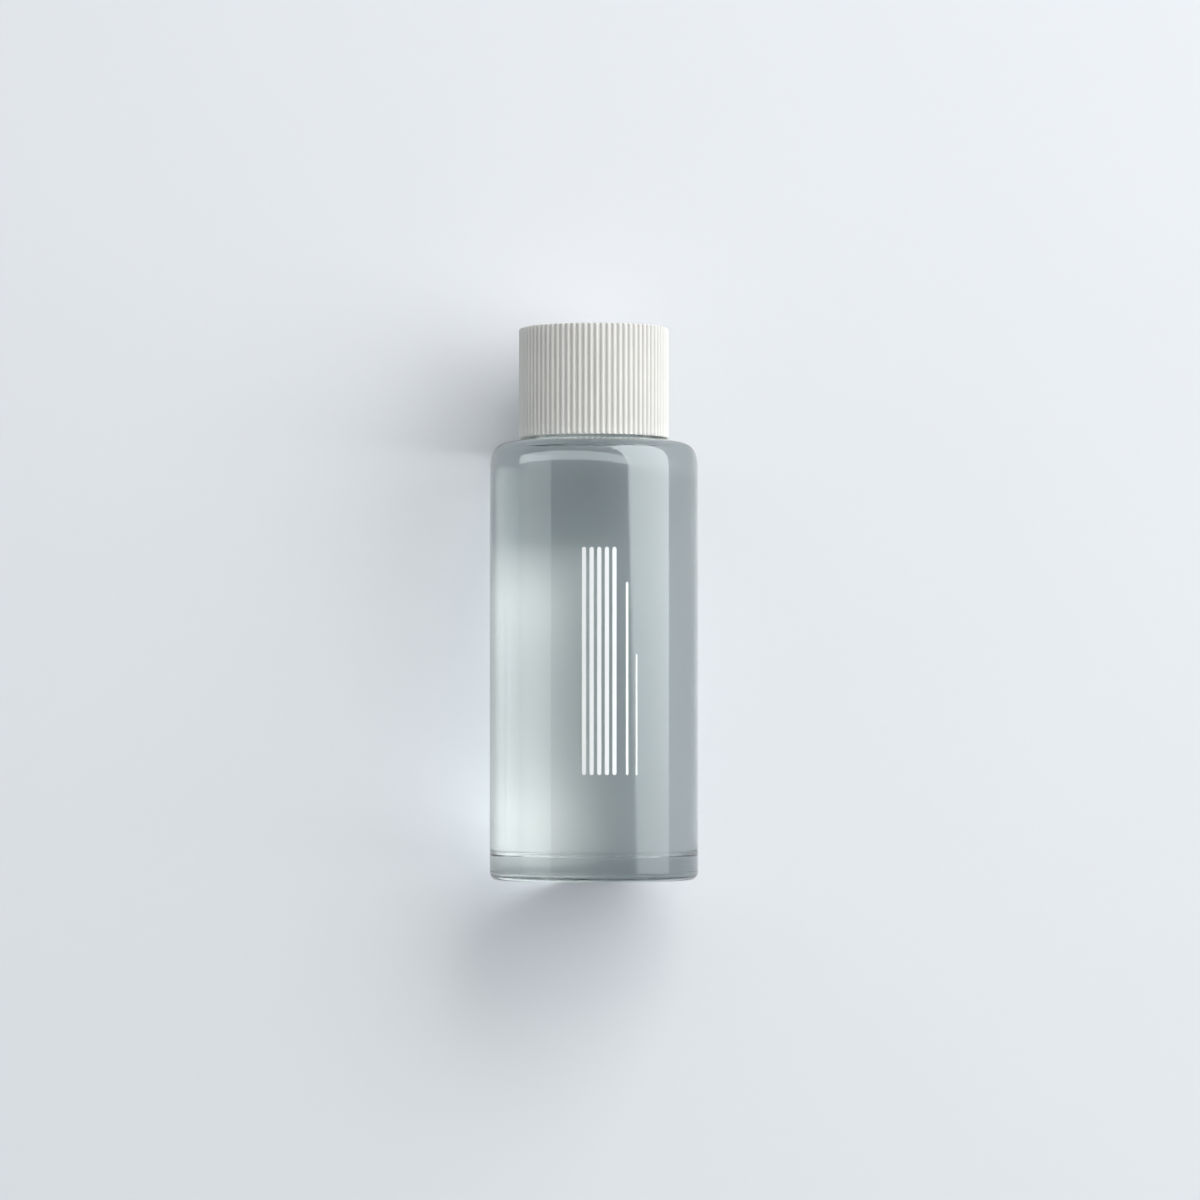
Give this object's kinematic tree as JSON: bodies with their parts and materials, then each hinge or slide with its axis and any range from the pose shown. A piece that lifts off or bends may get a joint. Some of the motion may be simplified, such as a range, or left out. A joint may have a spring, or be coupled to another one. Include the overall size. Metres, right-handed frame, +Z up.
{
  "type": "nail polish remover bottle",
  "caption": "Clear cylindrical glass bottle full of nail polish remover, with a ribbed screw cap that turns and rises off a threaded neck with a pouring plug.",
  "frame": {"origin": "middle of the base, on the surface that the bottle stands on", "axes": "+Z up along the bottle's axis, +Y away from the viewer of the front, +X to that viewer's right"},
  "size_m": [0.044, 0.044, 0.1165],
  "materials": {
    "clear_glass": "polished",
    "clear_liquid": "polished",
    "soft_plastic": "satin",
    "liner_foam": "matte",
    "inner_plastic": "satin",
    "shell_plastic": "satin"
  },
  "bodies": {
    "bottle": {"glass_bottle": "clear_glass", "remover_liquid": "clear_liquid", "orifice_reducer": "soft_plastic"},
    "liner": {"cap_liner": "liner_foam"},
    "cap": {"cap_inner": "inner_plastic", "cap_shell": "shell_plastic"}
  },
  "joints": [
    {"name": "cap_lift", "type": "slide", "parent": "bottle", "child": "liner", "axis": [0, 0, 1], "range_m": [0, 0.0223]},
    {"name": "cap_turn", "type": "hinge", "parent": "liner", "child": "cap", "pos_m": [0, 0, 0.105], "axis": [0, 0, 1], "range_deg": [0, 2520]}
  ],
  "couplings": [
    {"joint": "cap_lift", "follows": "cap_turn", "m_per_rad": 0.00050532}
  ]
}
